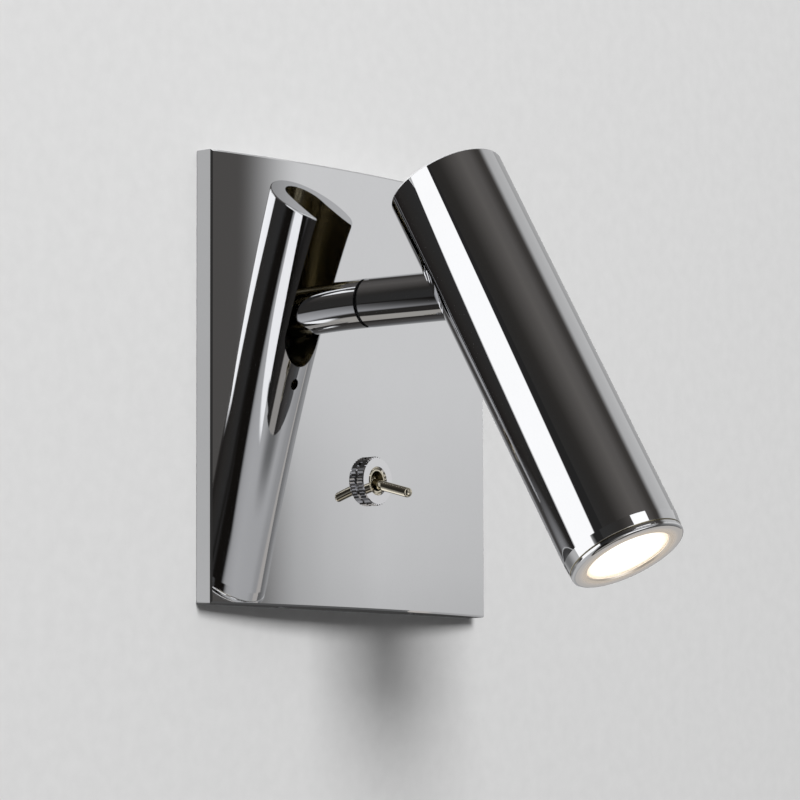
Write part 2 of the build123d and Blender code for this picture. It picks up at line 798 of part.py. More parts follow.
# ---------------------------------------------------------------- tilt joint
with BuildPart() as pivot_fork:
    leg_wall_side = sqrt((slot_half - seat) ** 2 - ear_outer**2) - channel_offset
    with BuildSketch(head_plane(fork_base)):
        with Locations((0, channel_offset)):
            Circle(slot_half - running)
    extrude(amount=fork_plug_length)
    for ear_start in (ear_inner, -ear_outer):
        with BuildSketch(side_plane(ear_start)):
            Circle(fork_ear_diameter / 2)
            with Locations((fork_base / 2, (leg_wall_side - fork_leg_reach) / 2)):
                Rectangle(fork_base, fork_leg_reach + leg_wall_side)
            Circle(pivot_pin_diameter / 2, mode=Mode.SUBTRACT)
        extrude(amount=fork_ear_gauge)
    with BuildSketch(head_plane(fork_base)):
        Circle(lead_diameter / 2 + sliding)
    extrude(amount=fork_plug_length, mode=Mode.SUBTRACT)
save(pivot_fork.part, "pivot_fork")

disc_starts = {"left": -ear_inner, "right": knuckle_width / 2}
for side, start in disc_starts.items():
    disc = ring(side_plane(start), friction_disc_height, friction_disc_diameter, pivot_pin_diameter)
    save(disc, f"friction_disc_{side}")

with BuildPart() as pivot_pins:
    pin_length = ear_outer - arm_bore / 2 - pivot_pin_end_gap
    for pin_start in (arm_bore / 2 + pivot_pin_end_gap, -ear_outer):
        with BuildSketch(side_plane(pin_start)):
            Circle(pivot_pin_diameter / 2)
        extrude(amount=pin_length)
save(pivot_pins.part, "pivot_pins")

# ---------------------------------------------------------------- head tube
wallward = head_plane(0).y_dir * -1
channel_centre = pivot - wallward * channel_offset
with BuildPart() as head_tube:
    with BuildSketch(head_plane(-head_rear)):
        Circle(head_radius)
    extrude(amount=head_rear + tube_end - tube_taper_length)
    with BuildSketch(head_plane(tube_end - tube_taper_length)):
        Circle(head_radius)
    with BuildSketch(head_plane(tube_end)):
        Circle(bezel_radius)
    loft(ruled=True)
    rear_rim = head_tube.edges().filter_by(GeomType.CIRCLE).sort_by(Axis.Z)[-1]
    fillet(rear_rim, radius=head_edge)
    front_rim = head_tube.edges().filter_by(GeomType.CIRCLE).sort_by(Axis.Z)[0]
    chamfer(front_rim, length=seam_bevel)
    with BuildSketch(head_plane(-head_rear)):
        with Locations((0, channel_offset)):
            Circle(slot_half)
    extrude(amount=head_rear + engine_shoulder, mode=Mode.SUBTRACT)
    with BuildSketch(head_plane(-head_rear)):
        with Locations((0, channel_offset - head_radius)):
            Rectangle(slot_width, 2 * head_radius)
    extrude(amount=head_rear, mode=Mode.SUBTRACT)
    with BuildSketch(Plane(origin=channel_centre, x_dir=(1, 0, 0), z_dir=wallward)):
        Circle(slot_half)
    extrude(amount=2 * head_radius, mode=Mode.SUBTRACT)
    with BuildSketch(head_plane(engine_shoulder)):
        Circle(engine_bore / 2)
    extrude(amount=head_front, mode=Mode.SUBTRACT)
    with BuildSketch(Plane(origin=pivot + head_axis * grub_place, x_dir=(1, 0, 0), z_dir=wallward)):
        Circle(grub_diameter / 2)
    extrude(amount=head_radius, mode=Mode.SUBTRACT)
save(head_tube.part, "head_tube")

grub_seat = slot_half - channel_offset
with BuildPart() as head_grub_screw:
    grub_origin = pivot + head_axis * grub_place + wallward * grub_seat
    with BuildSketch(Plane(origin=grub_origin, x_dir=(1, 0, 0), z_dir=wallward)):
        Circle(grub_diameter / 2)
    extrude(amount=grub_length)
    grub_end = grub_origin + wallward * grub_length
    with BuildSketch(Plane(origin=grub_end, x_dir=(1, 0, 0), z_dir=wallward)):
        RegularPolygon(grub_socket / 2, 6)
    extrude(amount=-grub_length / 2, mode=Mode.SUBTRACT)
save(head_grub_screw.part, "head_grub_screw")

# ---------------------------------------------------------------- light engine
with BuildPart() as heat_sink:
    with BuildSketch(head_plane(engine_shoulder)):
        Circle(engine_bore / 2 - running)
    extrude(amount=sink_front - engine_shoulder)
    with BuildSketch(head_plane(engine_shoulder)):
        Circle(lead_diameter / 2 + sliding)
    extrude(amount=sink_front - engine_shoulder, mode=Mode.SUBTRACT)
    with BuildSketch(head_plane(engine_shoulder)):
        with PolarLocations(engine_bore / 2, sink_fin_count, start_angle=180 / sink_fin_count):
            Rectangle(2 * sink_fin_depth, sink_fin_gap)
    extrude(amount=sink_front - engine_shoulder - sink_neck, mode=Mode.SUBTRACT)
    with BuildSketch(head_plane(sink_front)):
        with PolarLocations(board_screw_pcd / 2, 2):
            Circle(board_screw_diameter / 2)
    extrude(amount=-board_screw_length, mode=Mode.SUBTRACT)
save(heat_sink.part, "heat_sink")

with BuildPart() as thermal_pad:
    with BuildSketch(head_plane(sink_front)):
        Circle(glass_diameter / 2)
        Circle(lead_diameter / 2 + sliding, mode=Mode.SUBTRACT)
        with PolarLocations(board_screw_pcd / 2, 2):
            Circle((board_screw_diameter + screw_clearance) / 2, mode=Mode.SUBTRACT)
    extrude(amount=pad_height)
save(thermal_pad.part, "thermal_pad")

with BuildPart() as led_board:
    with BuildSketch(head_plane(board_back)):
        Circle(glass_diameter / 2)
        with PolarLocations(board_screw_pcd / 2, 2):
            Circle((board_screw_diameter + screw_clearance) / 2, mode=Mode.SUBTRACT)
    extrude(amount=board_height)
save(led_board.part, "led_board")

save(ring(head_plane(board_front), chip_height, chip_diameter), "led_chip")

with BuildPart() as board_screws:
    with BuildSketch(head_plane(board_front - board_screw_length)):
        with PolarLocations(board_screw_pcd / 2, 2):
            Circle(board_screw_diameter / 2)
    extrude(amount=board_screw_length)
    with BuildSketch(head_plane(board_front)):
        with PolarLocations(board_screw_pcd / 2, 2):
            Circle(board_screw_head_diameter / 2)
    extrude(amount=board_screw_head)
save(board_screws.part, "board_screws")

with BuildPart() as lens_holder:
    with BuildSketch(head_plane(board_front)):
        Circle(glass_diameter / 2)
        Circle(holder_bore, mode=Mode.SUBTRACT)
    extrude(amount=glass_back - board_front)
    with BuildSketch(head_plane(flange_back)):
        Circle(holder_bore + optic_ledge + running)
    extrude(amount=optic_flange, mode=Mode.SUBTRACT)
save(lens_holder.part, "lens_holder")

with BuildPart() as collimator_lens:
    with BuildSketch(head_plane(optic_back)):
        Circle(optic_back_diameter / 2)
    with BuildSketch(head_plane(flange_back)):
        Circle(optic_front_diameter / 2)
    loft(ruled=True)
    with BuildSketch(head_plane(flange_back)):
        Circle(holder_bore + optic_ledge)
    extrude(amount=optic_flange)
    with BuildSketch(head_plane(optic_back)):
        Circle((optic_back_diameter - optic_recess) / 2)
    extrude(amount=optic_recess, mode=Mode.SUBTRACT)
save(collimator_lens.part, "collimator_lens")

save(ring(head_plane(glass_back), glass_height, glass_diameter), "front_lens")
save(ring(head_plane(glass_front), seal_height, glass_diameter, bezel_aperture), "lens_seal")

with BuildPart() as bezel_ring:
    with BuildSketch(head_plane(tube_end)):
        Circle(bezel_radius)
    extrude(amount=bezel_height)
    bezel_rims = bezel_ring.edges().filter_by(GeomType.CIRCLE).sort_by(Axis.Z)
    fillet(bezel_rims[0], radius=bezel_edge)
    chamfer(bezel_rims[-1], length=seam_bevel)
    with BuildSketch(head_plane(tube_end)):
        Circle(bezel_aperture / 2)
    extrude(amount=bezel_height, mode=Mode.SUBTRACT)
    mouth_rim = bezel_ring.edges().filter_by(GeomType.CIRCLE).filter_by(
        lambda edge: abs(edge.radius - bezel_aperture / 2) < seat
    )
    chamfer(mouth_rim.sort_by(Axis.Z)[0], length=bezel_bevel)
    with BuildSketch(head_plane(tube_end - bezel_spigot)):
        Circle(engine_bore / 2 - running)
        Circle(glass_diameter / 2 + seat, mode=Mode.SUBTRACT)
    extrude(amount=bezel_spigot)
    with BuildSketch(head_plane(tube_end)):
        Circle(glass_diameter / 2 + seat)
    extrude(amount=bezel_height - bezel_lip, mode=Mode.SUBTRACT)
save(bezel_ring.part, "bezel_ring")

# ---------------------------------------------------------------- toggle switch
with BuildPart() as ring_nut:
    tooth_points = []
    for index in range(ring_nut_teeth):
        crest = 2 * pi * index / ring_nut_teeth
        for step, radius in ((0.0, 0.0), (0.5, ring_nut_tooth_depth)):
            angle = crest + step * 2 * pi / ring_nut_teeth
            reach = ring_nut_diameter / 2 - radius
            tooth_points.append((reach * cos(angle), reach * sin(angle)))
    with BuildSketch(wall_plane(plate_front, z=toggle_height)):
        with BuildLine():
            Polyline(*tooth_points, close=True)
        make_face()
    extrude(amount=ring_nut_height)
    for edge_out in (plate_front, toggle_face - ring_nut_edge):
        with BuildSketch(wall_plane(edge_out, z=toggle_height)):
            Circle(ring_nut_diameter)
            Circle(ring_nut_diameter / 2 - ring_nut_tooth_depth, mode=Mode.SUBTRACT)
        extrude(amount=ring_nut_edge, mode=Mode.SUBTRACT)
    with BuildSketch(wall_plane(plate_front, z=toggle_height)):
        Circle(bushing_diameter / 2)
    extrude(amount=ring_nut_height, mode=Mode.SUBTRACT)
    with BuildSketch(wall_plane(toggle_face - ring_nut_mouth_depth, z=toggle_height)):
        Circle(bushing_diameter / 2)
    with BuildSketch(wall_plane(toggle_face, z=toggle_height)):
        Circle(ring_nut_mouth / 2)
    loft(ruled=True, mode=Mode.SUBTRACT)
save(ring_nut.part, "ring_nut")

with BuildPart() as switch_bushing:
    bore = bushing_bore / 2
    throat = bushing_throat / 2
    mouth = bushing_mouth / 2
    socket_foot = lever_out + sqrt(2) * (lever_ball / 2 + running) - bore
    neck_out = socket_foot + bore - throat
    with BuildSketch(Plane.XY.offset(toggle_height)):
        with BuildLine():
            Polyline(
                (bore, -cap_out),
                (bushing_diameter / 2, -cap_out),
                (bushing_diameter / 2, bushing_bevel - bushing_out),
                (bushing_diameter / 2 - bushing_bevel, -bushing_out),
                (mouth, -bushing_out),
                (throat, -neck_out - chamfer_small),
                (throat, -neck_out),
                (bore, -socket_foot),
                close=True,
            )
        make_face()
    revolve(axis=Axis((0, 0, toggle_height), (0, 1, 0)))
    with BuildSketch(Plane.YZ.offset(-bushing_diameter / 2)):
        with Locations((-lever_out, toggle_height)):
            Circle(lever_pin_diameter / 2)
    extrude(amount=bushing_diameter, mode=Mode.SUBTRACT)
    with BuildSketch(wall_plane(body_out, z=toggle_height)):
        Rectangle(switch_width, switch_length)
        Circle(bore, mode=Mode.SUBTRACT)
    extrude(amount=switch_cap)
save(switch_bushing.part, "switch_bushing")

save(
    ring(wall_plane(pad_out - lock_washer_height, z=toggle_height), lock_washer_height,
         lock_washer_diameter, bushing_diameter),
    "switch_washer",
)
save(
    hex_nut(wall_plane(pad_out - lock_washer_height - back_nut_height, z=toggle_height), back_nut_height,
            back_nut_across_flats, bushing_diameter),
    "switch_back_nut",
)

lever_plane = Plane(origin=lever_pivot, x_dir=(1, 0, 0), z_dir=lever_axis)
with BuildPart() as switch_lever:
    with BuildSketch(lever_plane):
        Circle(lever_diameter / 2)
    extrude(amount=lever_length)
    fillet(switch_lever.edges().sort_by(Axis.Y)[0], radius=lever_tip_radius)
    with BuildSketch(lever_plane):
        Circle(lever_foot_diameter / 2)
    extrude(amount=-lever_foot_length)
    with Locations(lever_plane):
        Sphere(lever_ball / 2)
    with BuildSketch(Plane.YZ.offset(-lever_ball)):
        with Locations((-lever_out, toggle_height)):
            Circle(lever_pin_diameter / 2 + running)
    extrude(amount=2 * lever_ball, mode=Mode.SUBTRACT)
save(switch_lever.part, "switch_lever")

pin_reach = bushing_diameter / 2 - seat
pin_plane = Plane(origin=(-pin_reach, -lever_out, toggle_height), z_dir=(1, 0, 0))
save(ring(pin_plane, 2 * pin_reach, lever_pin_diameter), "lever_pin")

with BuildPart() as switch_plunger:
    with BuildSketch(lever_plane.offset(-lever_foot_length)):
        Circle(plunger_diameter / 2)
    extrude(amount=lever_foot_length - plunger_length)
    fillet(switch_plunger.edges().sort_by(Axis.Y)[-1], radius=plunger_tip_radius)
save(switch_plunger.part, "switch_plunger")

with BuildPart() as switch_body:
    with BuildSketch(wall_plane(tab_out, z=toggle_height)):
        Rectangle(switch_width, switch_length)
    extrude(amount=switch_depth)
    with BuildSketch(wall_plane(tab_out + switch_floor, z=toggle_height)):
        Rectangle(switch_width - 2 * switch_wall, switch_length - 2 * switch_wall)
    extrude(amount=switch_depth, mode=Mode.SUBTRACT)
    with BuildSketch(wall_plane(tab_out, z=toggle_height)):
        with GridLocations(0, tab_pitch, 1, 3):
            Rectangle(tab_width, tab_gauge)
    extrude(amount=switch_floor, mode=Mode.SUBTRACT)
save(switch_body.part, "switch_body")

rocker_out = -rocker_place
rocker_lift = rocker_gauge / 2 + seat
with BuildPart() as switch_tabs:
    with BuildSketch(wall_plane(tab_out - tab_length, z=toggle_height)):
        with GridLocations(0, tab_pitch, 1, 3):
            Rectangle(tab_width, tab_gauge)
    extrude(amount=tab_length + rocker_out - rocker_lift - tab_out)
save(switch_tabs.part, "switch_tabs")

with BuildPart() as switch_rocker:
    rocker_origin = Vector(0, -rocker_out, toggle_height)
    for sign in (-1, 1):
        slope = radians(rocker_bend - sign * rocker_tilt)
        arm_direction = Vector(0, -sin(slope), sign * cos(slope))
        with BuildSketch(Plane(origin=rocker_origin, x_dir=(1, 0, 0), z_dir=arm_direction)):
            Rectangle(rocker_width, rocker_gauge)
        extrude(amount=rocker_arm)
save(switch_rocker.part, "switch_rocker")

# ---------------------------------------------------------------- leads and wires
lead_start_out = -stem_tail - lead_tail
with BuildPart() as arm_lead:
    with BuildSketch(wall_plane(lead_start_out, z=arm_height)):
        Circle(lead_diameter / 2)
    extrude(amount=pivot_out - lead_start_out)
    with Locations(pivot):
        Sphere(lead_diameter / 2)
save(arm_lead.part, "arm_lead")

head_lead_start = lead_diameter / 2 + sliding
save(ring(head_plane(head_lead_start), board_back - head_lead_start, lead_diameter), "head_lead")

lead_route = [
    (0, lead_start_out - sliding, arm_height),
    (0, lead_lane_out, arm_height),
    (lead_cover_x, lead_lane_out, lead_cover_z),
    (lead_cover_x, board_face, lead_cover_z),
]
save(wire(lead_route, lead_diameter, lead_bend), "driver_lead")

tab_end = tab_out - tab_length
board_entry_z = driver_floor + wire_rise
live_route = [
    (0, tab_end, toggle_height + tab_pitch),
    (0, live_lane_out, toggle_height + tab_pitch),
    (block_x + pole_offsets[0], live_lane_out, block_lane_z),
    (block_x + pole_offsets[0], barrel_out, block_lane_z),
    (block_x + pole_offsets[0], barrel_out, block_z),
]
save(wire(live_route, wire_diameter, wire_bend), "live_wire")

switched_route = [
    (0, tab_end, toggle_height),
    (0, switched_lane_out, toggle_height),
    (switched_x, switched_lane_out, switched_lane_z),
    (switched_x, driver_entry_out, switched_lane_z),
    (switched_x, driver_entry_out, board_entry_z),
    (switched_x, board_face, board_entry_z),
]
save(wire(switched_route, wire_diameter, wire_bend), "switched_wire")

neutral_route = [
    (block_x + pole_offsets[1], barrel_out, block_z),
    (block_x + pole_offsets[1], barrel_out, block_lane_z),
    (neutral_x, driver_entry_out, earth_z),
    (neutral_x, driver_entry_out, board_entry_z),
    (neutral_x, board_face, board_entry_z),
]
save(wire(neutral_route, wire_diameter, wire_bend), "neutral_wire")

tag_lane_out = housing_floor + earth_tag_gauge + wire_diameter / 2
earth_route = [
    (block_x + pole_offsets[2], barrel_out, block_z),
    (block_x + pole_offsets[2], barrel_out, earth_z),
    (block_x + pole_offsets[2] - earth_lane_shift, tag_lane_out, earth_z),
    (earth_x + earth_tag_diameter / 2, tag_lane_out, earth_z),
]
save(wire(earth_route, wire_diameter, wire_bend), "earth_wire")
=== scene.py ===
import bpy
import json
import math
from mathutils import Matrix, Vector


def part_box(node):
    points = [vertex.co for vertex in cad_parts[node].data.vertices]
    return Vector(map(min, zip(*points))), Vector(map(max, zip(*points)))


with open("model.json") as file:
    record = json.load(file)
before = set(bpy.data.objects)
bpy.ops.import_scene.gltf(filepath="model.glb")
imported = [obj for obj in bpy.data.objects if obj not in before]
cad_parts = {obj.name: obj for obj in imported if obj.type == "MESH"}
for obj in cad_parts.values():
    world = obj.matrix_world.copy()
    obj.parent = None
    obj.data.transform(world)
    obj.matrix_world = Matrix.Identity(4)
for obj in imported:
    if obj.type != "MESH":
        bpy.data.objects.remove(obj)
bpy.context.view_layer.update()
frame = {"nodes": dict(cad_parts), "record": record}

MM = 0.001
JOINTS = {joint["name"]: joint for joint in frame["record"]["behaviour"]["joints"]}

# ---------------------------------------------------------------- camera
YAW, PITCH, ROLL = math.radians(52.247), math.radians(5.686), math.radians(-0.222)
CAMERA_PLACE = Vector((-724.76, -579.85, -94.07)) * MM
LENS_MM = 173.16
SENSOR_MM = 36.0
CLIP = (0.01, 20.0)

forward = Vector((math.sin(YAW) * math.cos(PITCH), math.cos(YAW) * math.cos(PITCH), math.sin(PITCH)))
level_right = Vector((math.cos(YAW), -math.sin(YAW), 0))
level_up = level_right.cross(forward)
right = math.cos(ROLL) * level_right + math.sin(ROLL) * level_up
up = math.cos(ROLL) * level_up - math.sin(ROLL) * level_right
camera_data = bpy.data.cameras.new("camera")
camera_data.lens = LENS_MM
camera_data.sensor_width = SENSOR_MM
camera_data.clip_start, camera_data.clip_end = CLIP
camera = bpy.data.objects.new("camera", camera_data)
axes = Matrix((right, up, -forward)).transposed()
camera.matrix_world = Matrix.Translation(CAMERA_PLACE) @ axes.to_4x4()
bpy.context.scene.collection.objects.link(camera)
bpy.context.scene.camera = camera
bpy.context.scene.view_settings.view_transform = "Standard"


# ---------------------------------------------------------------- node helpers
class Graph:
    """Builds a node tree with short calls."""

    def __init__(self, tree):
        self.tree = tree
        tree.nodes.clear()

    def node(self, kind, sockets=None, **settings):
        made = self.tree.nodes.new(kind)
        for key, value in settings.items():
            setattr(made, key, value)
        for key, value in (sockets or {}).items():
            socket = made.inputs[key]
            if isinstance(value, bpy.types.NodeSocket):
                self.tree.links.new(value, socket)
            else:
                socket.default_value = value
        return made

    def math(self, operation, *values):
        return self.node("ShaderNodeMath", dict(enumerate(values)), operation=operation).outputs[0]

    def vector(self, operation, *vectors):
        return self.node("ShaderNodeVectorMath", dict(enumerate(vectors)), operation=operation).outputs

    def ramp(self, value, stops, interpolation="LINEAR"):
        made = self.node("ShaderNodeValToRGB", {"Fac": value})
        made.color_ramp.interpolation = interpolation
        elements = made.color_ramp.elements
        while len(elements) > 1:
            elements.remove(elements[-1])
        elements[0].position = stops[0][0]
        elements[0].color = (*stops[0][1], 1)
        for place, colour in stops[1:]:
            elements.new(place).color = (*colour, 1)
        return made.outputs["Color"]

    def along(self, value, low, high, stops):
        """A ramp whose stops are given in the value's own units."""
        share = self.node("ShaderNodeMapRange", {"Value": value, "From Min": low, "From Max": high})
        shares = [((place - low) / (high - low), colour) for place, colour in stops]
        return self.ramp(share.outputs["Result"], shares)

    def spread(self, value, low, high):
        """0 at low, 1 at high, with a soft start and end."""
        made = self.node(
            "ShaderNodeMapRange",
            {"Value": value, "From Min": low, "From Max": high},
            interpolation_type="SMOOTHSTEP",
        )
        return made.outputs["Result"]

    def patch(self, spots, edges):
        """A soft-edged patch: 1 inside, 0 outside.

        edges gives pairs for each axis: where there is nothing of the patch yet, and where it is whole.
        """
        masks = []
        for axis, limits in edges.items():
            for nothing, whole in zip(limits[::2], limits[1::2]):
                masks.append(self.spread(spots[axis], nothing, whole))
        return self.all_of(*masks)

    def all_of(self, *masks):
        """The product of several masks."""
        product = masks[0]
        for mask in masks[1:]:
            product = self.math("MULTIPLY", product, mask)
        return product

    def mix(self, share, first, second):
        """The first colour where the share is 0, the second where it is 1."""
        made = self.node("ShaderNodeMix", {0: share, 6: first, 7: second}, data_type="RGBA")
        return made.outputs[2]

    def choose(self, share, first, second):
        """The first shader where the share is 0, the second where it is 1."""
        return self.node("ShaderNodeMixShader", {0: share, 1: first, 2: second}).outputs[0]

    def along_axis(self, place, centre, axis):
        """Distance of a place along an axis, counted from a centre."""
        offset = self.vector("SUBTRACT", place, centre)[0]
        return self.vector("DOT_PRODUCT", offset, axis)["Value"]

    def off_axis(self, place, centre, axis):
        """Distance of a place from a line through a centre."""
        offset = self.vector("SUBTRACT", place, centre)[0]
        across = self.vector("CROSS_PRODUCT", offset, axis)[0]
        return self.vector("LENGTH", across)["Value"]


def grey(level):
    return (level, level, level)


def greys(*stops):
    """Ramp stops of plain greys."""
    return [(place, grey(level)) for place, level in stops]


def fresh_material(name):
    """A new material and the graph that draws it."""
    material = bpy.data.materials.new(name)
    material.use_nodes = True
    return material, Graph(material.node_tree)


def least(node, measure):
    """The least measure among a node's points."""
    return min(measure(point.co) for point in frame["nodes"][node].data.vertices)


# Where the two noises together count as the darkest and the lightest grain, how much broader the second
# is, how deep the relief of a bump is, and over what length an inner finish begins.
GRAIN_DARK, GRAIN_LIGHT = 0.3, 0.7
BROAD_TO_FINE = 14
RELIEF = 0.2 * MM
START_BLEND = 0.04 * MM


def finish_of(name, colour, roughness, metallic=0.0, mottle=0.06, grain=900.0, bump=0.0, coat=0.0,
              rough_swing=0.04, stretch=(1, 1, 1), transmission=0.0, ior=1.45, inside=None):
    """A surface whose colour and roughness vary a little at the scale of its own grain.

    inside is the colour and roughness of what lies within a radius of an axis, from a start along it;
    full is the share of that radius within which nothing of the outer finish is left, and glow, where it
    is given, is the colour of painted light that the surface gives off there, though it is no lamp.
    """
    material, g = fresh_material(name)
    spot = g.node("ShaderNodeTexCoord").outputs["Object"]
    place = g.node("ShaderNodeMapping", {"Vector": spot, "Scale": stretch}).outputs["Vector"]
    fine = g.node("ShaderNodeTexNoise", {"Vector": place, "Scale": grain, "Detail": 5.0, "Roughness": 0.6})
    broad = g.node("ShaderNodeTexNoise", {"Vector": place, "Scale": grain / BROAD_TO_FINE, "Detail": 3.0})
    halves = [g.math("MULTIPLY", noise.outputs[0], 0.5) for noise in (fine, broad)]
    blend = g.math("ADD", *halves)
    darker = tuple(c * (1 - mottle) for c in colour)
    lighter = tuple(min(1.0, c * (1 + mottle)) for c in colour)
    tint = g.ramp(blend, [(GRAIN_DARK, darker), (GRAIN_LIGHT, lighter)])
    rough = g.node(
        "ShaderNodeMapRange",
        {"Value": blend, "From Min": GRAIN_DARK, "From Max": GRAIN_LIGHT,
         "To Min": max(0.0, roughness - rough_swing), "To Max": roughness + rough_swing},
    ).outputs["Result"]
    sockets = {"Metallic": metallic, "Coat Weight": coat, "Transmission Weight": transmission, "IOR": ior}
    if inside:
        distance = g.off_axis(spot, inside["centre"], inside["axis"])
        depth = g.along_axis(spot, inside["centre"], inside["axis"])
        share = g.all_of(g.spread(distance, inside["radius"], inside["radius"] * inside["full"]),
                         g.spread(depth, inside["start"], inside["start"] + START_BLEND))
        tint = g.mix(share, tint, (*inside["colour"], 1))
        rough = g.node(
            "ShaderNodeMapRange", {"Value": share, "To Min": roughness, "To Max": inside["roughness"]},
        ).outputs["Result"]
    if inside and "glow" in inside:
        sockets["Emission Color"] = (*inside["glow"], 1)
        sockets["Emission Strength"] = g.math("MULTIPLY", share, inside["glow_strength"])
    if bump > 0:
        relief = g.node("ShaderNodeBump", {"Height": fine.outputs[0], "Strength": bump, "Distance": RELIEF})
        sockets["Normal"] = relief.outputs["Normal"]
    shader = g.node("ShaderNodeBsdfPrincipled", {"Base Color": tint, "Roughness": rough, **sockets})
    g.node("ShaderNodeOutputMaterial", {"Surface": shader.outputs[0]})
    return material


# Colours from the middle of the lens, 0, to its rim, 1.
LENS_COLOURS = [(0.0, (1.0, 0.98, 0.94)), (0.80, (1.0, 0.97, 0.90)), (0.93, (1.0, 0.90, 0.74)),
                (1.0, (0.92, 0.76, 0.58))]
# The share of the radius up to which the lens is brightest, and its power there and at the rim.
LENS_CORE = 0.3
LENS_CORE_POWER = 2.4
LENS_RIM_POWER = 0.85
LENS_RIPPLE = 0.05


def lit_lens(name, centre, axis, radius):
    """A frosted lens with the light behind it: white in the middle, warm at the rim."""
    material, g = fresh_material(name)
    place = g.node("ShaderNodeTexCoord").outputs["Object"]
    share = g.math("DIVIDE", g.off_axis(place, centre, axis), radius)
    ripple = g.node("ShaderNodeTexNoise", {"Vector": place, "Scale": 700.0, "Detail": 2.0}).outputs[0]
    share = g.math("ADD", share, g.math("MULTIPLY", g.math("SUBTRACT", ripple, 0.5), LENS_RIPPLE))
    glow = g.ramp(share, LENS_COLOURS, "EASE")
    power = g.node(
        "ShaderNodeMapRange",
        {"Value": share, "From Min": LENS_CORE, "From Max": 1.0,
         "To Min": LENS_CORE_POWER, "To Max": LENS_RIM_POWER},
    ).outputs["Result"]
    shader = g.node(
        "ShaderNodeBsdfPrincipled",
        {"Base Color": glow, "Roughness": 0.25, "Emission Color": glow, "Emission Strength": power},
    )
    g.node("ShaderNodeOutputMaterial", {"Surface": shader.outputs[0]})
    return material


# ---------------------------------------------------------------- finishes
# The head hangs plumb at the lower limit of its tilt, and the toggle is thrown as far up as down.
TILT = math.radians(-JOINTS["head_tilt"]["range_deg"][0])
PIVOT = Vector(JOINTS["head_tilt"]["pos_m"])
HEAD_AXIS = Vector((0, -math.sin(TILT), -math.cos(TILT)))
TOGGLE_TILT = math.radians(JOINTS["toggle_flick"]["range_deg"][1] / 2)
TOGGLE_PIVOT = Vector(JOINTS["toggle_flick"]["pos_m"])
LEVER_AXIS = Vector((0, -math.cos(TOGGLE_TILT), -math.sin(TOGGLE_TILT)))
BUSHING_AXIS = Vector((0, 1, 0))

FINISHES = {
    "polished_chrome": dict(colour=(0.83, 0.835, 0.85), roughness=0.022, metallic=1.0, mottle=0.012,
                            grain=1400.0, rough_swing=0.01),
    "zinc_steel": dict(colour=(0.62, 0.63, 0.65), roughness=0.30, metallic=1.0, mottle=0.08, bump=0.10,
                       grain=1800.0),
    "spring_steel": dict(colour=(0.50, 0.51, 0.53), roughness=0.28, metallic=1.0, mottle=0.08, bump=0.12,
                         grain=2200.0),
    "nickel_brass": dict(colour=(0.80, 0.76, 0.68), roughness=0.16, metallic=1.0, mottle=0.05,
                         grain=2000.0, bump=0.05),
    "coated_steel": dict(colour=(0.16, 0.16, 0.17), roughness=0.48, mottle=0.10, grain=1500.0, bump=0.35),
    "turned_brass": dict(colour=(0.78, 0.58, 0.27), roughness=0.24, metallic=1.0, mottle=0.06,
                         grain=2000.0, bump=0.06),
    "cast_zinc": dict(colour=(0.60, 0.61, 0.62), roughness=0.34, metallic=1.0, mottle=0.07, grain=1400.0,
                      bump=0.12),
    "raw_aluminium": dict(colour=(0.77, 0.78, 0.80), roughness=0.30, metallic=1.0, mottle=0.05,
                          grain=1600.0, bump=0.10, stretch=(1, 1, 6)),
    "acetal": dict(colour=(0.86, 0.85, 0.80), roughness=0.42, mottle=0.03, grain=1200.0, bump=0.08),
    "black_plastic": dict(colour=(0.025, 0.025, 0.027), roughness=0.40, mottle=0.20, grain=1600.0,
                          bump=0.15),
    "white_nylon": dict(colour=(0.84, 0.84, 0.81), roughness=0.45, mottle=0.03, grain=1200.0, bump=0.10),
    "driver_plastic": dict(colour=(0.78, 0.79, 0.80), roughness=0.46, mottle=0.04, grain=1300.0, bump=0.25),
    "circuit_board": dict(colour=(0.04, 0.24, 0.12), roughness=0.30, mottle=0.15, grain=700.0, coat=0.3),
    "white_board": dict(colour=(0.88, 0.88, 0.86), roughness=0.35, mottle=0.03, grain=900.0),
    "phosphor": dict(colour=(0.95, 0.76, 0.28), roughness=0.40, mottle=0.05, grain=1500.0),
    "clear_acrylic": dict(colour=(0.97, 0.98, 0.99), roughness=0.04, mottle=0.01, grain=600.0,
                          rough_swing=0.01, transmission=1.0, ior=1.49),
    "black_rubber": dict(colour=(0.03, 0.03, 0.03), roughness=0.62, mottle=0.20, grain=1400.0, bump=0.25),
    "white_silicone": dict(colour=(0.86, 0.86, 0.84), roughness=0.35, mottle=0.02, grain=1200.0, bump=0.05),
    "grey_foam": dict(colour=(0.42, 0.43, 0.45), roughness=0.80, mottle=0.12, grain=2600.0, bump=0.50),
    "black_sheath": dict(colour=(0.035, 0.035, 0.037), roughness=0.38, mottle=0.15, grain=1100.0,
                         bump=0.10),
    "brown_sheath": dict(colour=(0.26, 0.12, 0.05), roughness=0.38, mottle=0.08, grain=1100.0, bump=0.08),
    "blue_sheath": dict(colour=(0.07, 0.18, 0.52), roughness=0.38, mottle=0.08, grain=1100.0, bump=0.08),
    "green_sheath": dict(colour=(0.18, 0.46, 0.10), roughness=0.38, mottle=0.10, grain=1100.0, bump=0.08),
}

TUBE_START = least("head_tube", lambda point: (point - PIVOT).dot(HEAD_AXIS))
TUBE_END_SKIN = 0.02 * MM
TUBE_BORE_RADIUS = 14.0 * MM
BEZEL_BORE = least("bezel_ring", lambda point: (point - PIVOT).cross(HEAD_AXIS).length)
BEZEL_GLOW_REACH = 2.6 * MM
BUSHING_BORE_RADIUS = 2.42 * MM
LEVER_RADIUS = 1.3 * MM
# A start that lies before every piece, and an edge as sharp as a blend can be.
EVERY_DEPTH = -1.0
SHARP = 0.995
